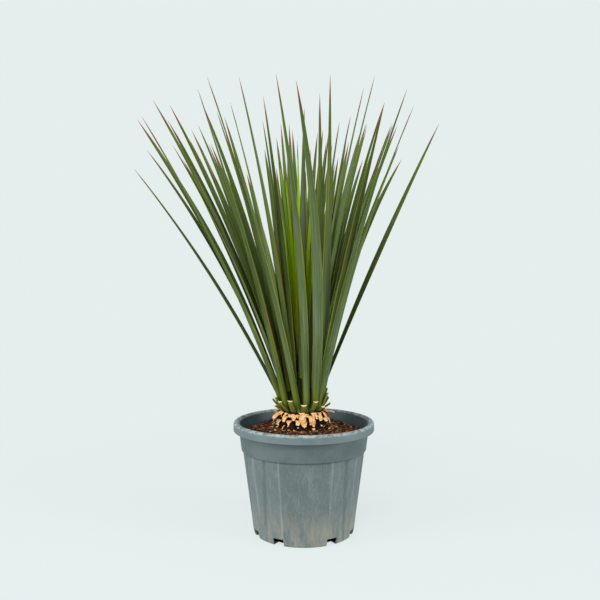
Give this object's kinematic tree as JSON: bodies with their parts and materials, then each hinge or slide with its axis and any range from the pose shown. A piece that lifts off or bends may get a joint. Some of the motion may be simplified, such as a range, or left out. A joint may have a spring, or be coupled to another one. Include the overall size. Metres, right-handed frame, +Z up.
{
  "type": "potted nolina",
  "caption": "Fountain of narrow strap leaves on a short stump with dry cut leaf bases, growing in a round fluted nursery pot filled with soil.",
  "frame": {"origin": "centre of the pot's underside, where it stands on the ground", "axes": "+Z up along the pot's axis, -Y towards the viewer of the picture, +X to the viewer's right"},
  "size_m": [0.5947, 0.5932, 0.8122],
  "materials": {
    "pot_plastic": "weathered grey-blue moulded plastic with dust",
    "soil": "loose crumbly potting soil",
    "dry_leaf_base": "dry, fibrous and matt",
    "green_leaf": "leathery leaf with a faint bloom",
    "young_leaf": "leathery young leaf, slightly glossy"
  },
  "bodies": {
    "root": {"pot": "pot_plastic", "soil": "soil", "stump": "dry_leaf_base", "leaf_crown": "green_leaf", "heart_leaves": "young_leaf"}
  },
  "joints": []
}
